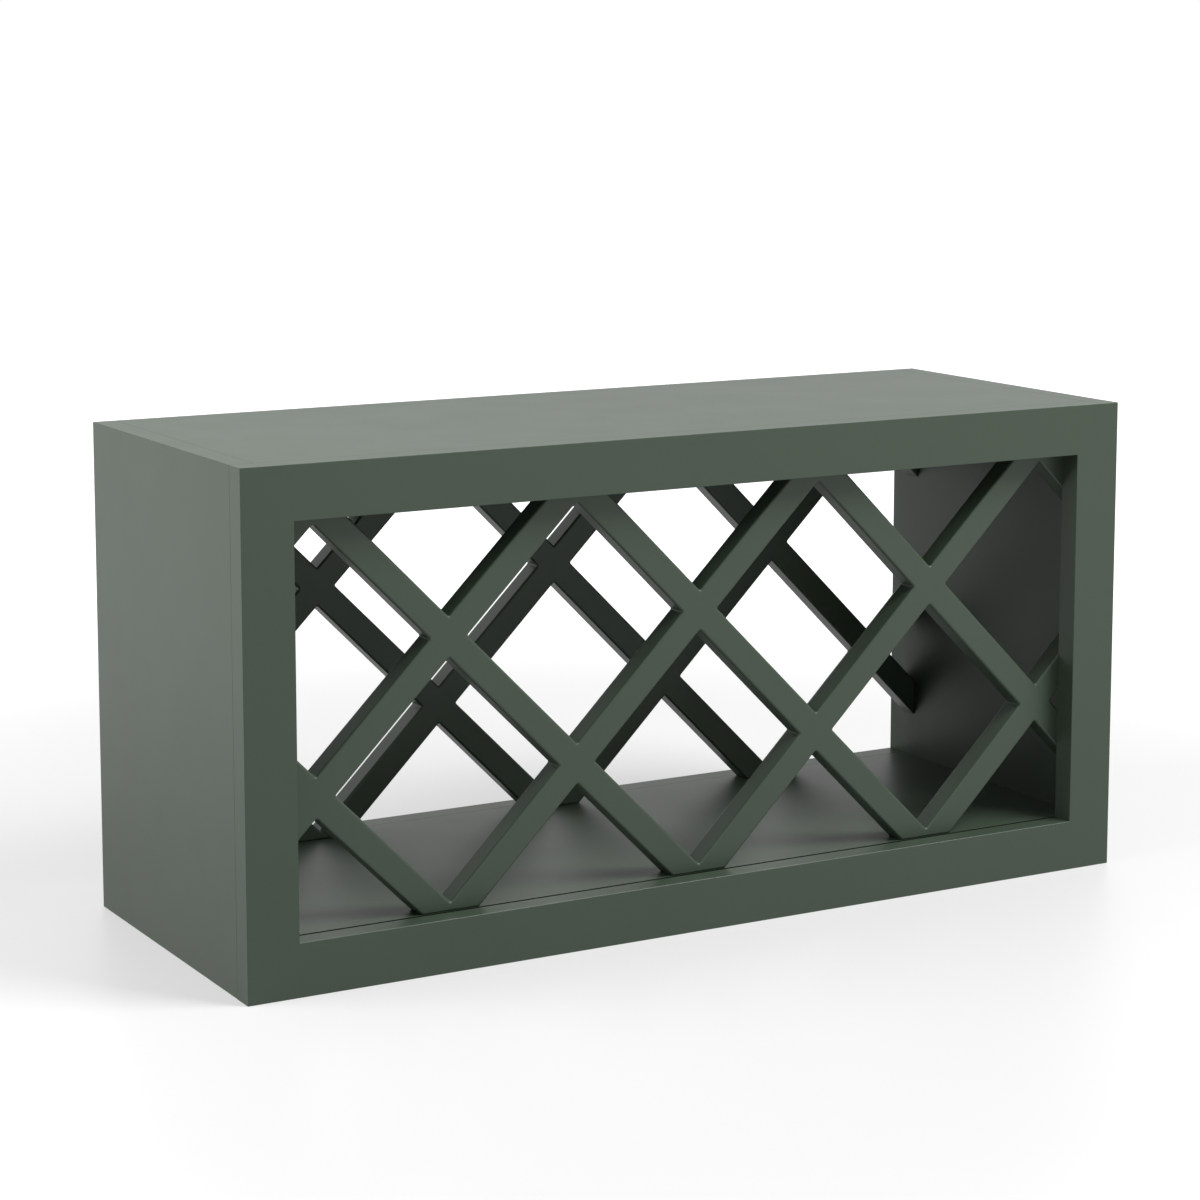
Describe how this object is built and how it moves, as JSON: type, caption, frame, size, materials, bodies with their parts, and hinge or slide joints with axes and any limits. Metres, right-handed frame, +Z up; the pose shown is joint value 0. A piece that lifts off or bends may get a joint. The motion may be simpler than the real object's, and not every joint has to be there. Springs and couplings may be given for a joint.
{
  "type": "wall wine rack",
  "caption": "Painted wooden wall cabinet, open at the front and back, with a face frame and two diagonal lattices that hold wine bottles lying down.",
  "frame": {"origin": "middle of the base, half way between the face frame's front and the wall", "axes": "+X along the width, to the right as seen from the room; +Y from the front to the wall; +Z up"},
  "size_m": [0.762, 0.2858, 0.381],
  "materials": {
    "painted_wood": "satin sage green paint",
    "dowel_wood": "bare beech",
    "screw_steel": "zinc plated"
  },
  "bodies": {
    "root": {"left_stile": "painted_wood", "right_stile": "painted_wood", "top_rail": "painted_wood", "bottom_rail": "painted_wood", "left_side_panel": "painted_wood", "right_side_panel": "painted_wood", "top_panel": "painted_wood", "bottom_panel": "painted_wood", "hanging_rail": "painted_wood", "rear_bottom_rail": "painted_wood", "front_rising_slat_1": "painted_wood", "front_rising_slat_2": "painted_wood", "front_rising_slat_3": "painted_wood", "front_rising_slat_4": "painted_wood", "front_rising_slat_5": "painted_wood", "front_falling_slat_1": "painted_wood", "front_falling_slat_2": "painted_wood", "front_falling_slat_3": "painted_wood", "front_falling_slat_4": "painted_wood", "front_falling_slat_5": "painted_wood", "rear_rising_slat_1": "painted_wood", "rear_rising_slat_2": "painted_wood", "rear_rising_slat_3": "painted_wood", "rear_rising_slat_4": "painted_wood", "rear_rising_slat_5": "painted_wood", "rear_falling_slat_1": "painted_wood", "rear_falling_slat_2": "painted_wood", "rear_falling_slat_3": "painted_wood", "rear_falling_slat_4": "painted_wood", "rear_falling_slat_5": "painted_wood", "frame_corner_dowels": "dowel_wood", "frame_to_case_dowels": "dowel_wood", "top_panel_dowels": "dowel_wood", "bottom_panel_dowels": "dowel_wood", "hanging_rail_dowels": "dowel_wood", "rear_bottom_rail_dowels": "dowel_wood", "front_lattice_screws": "screw_steel", "rear_lattice_screws": "screw_steel", "lattice_foot_screws": "screw_steel"}
  },
  "joints": []
}
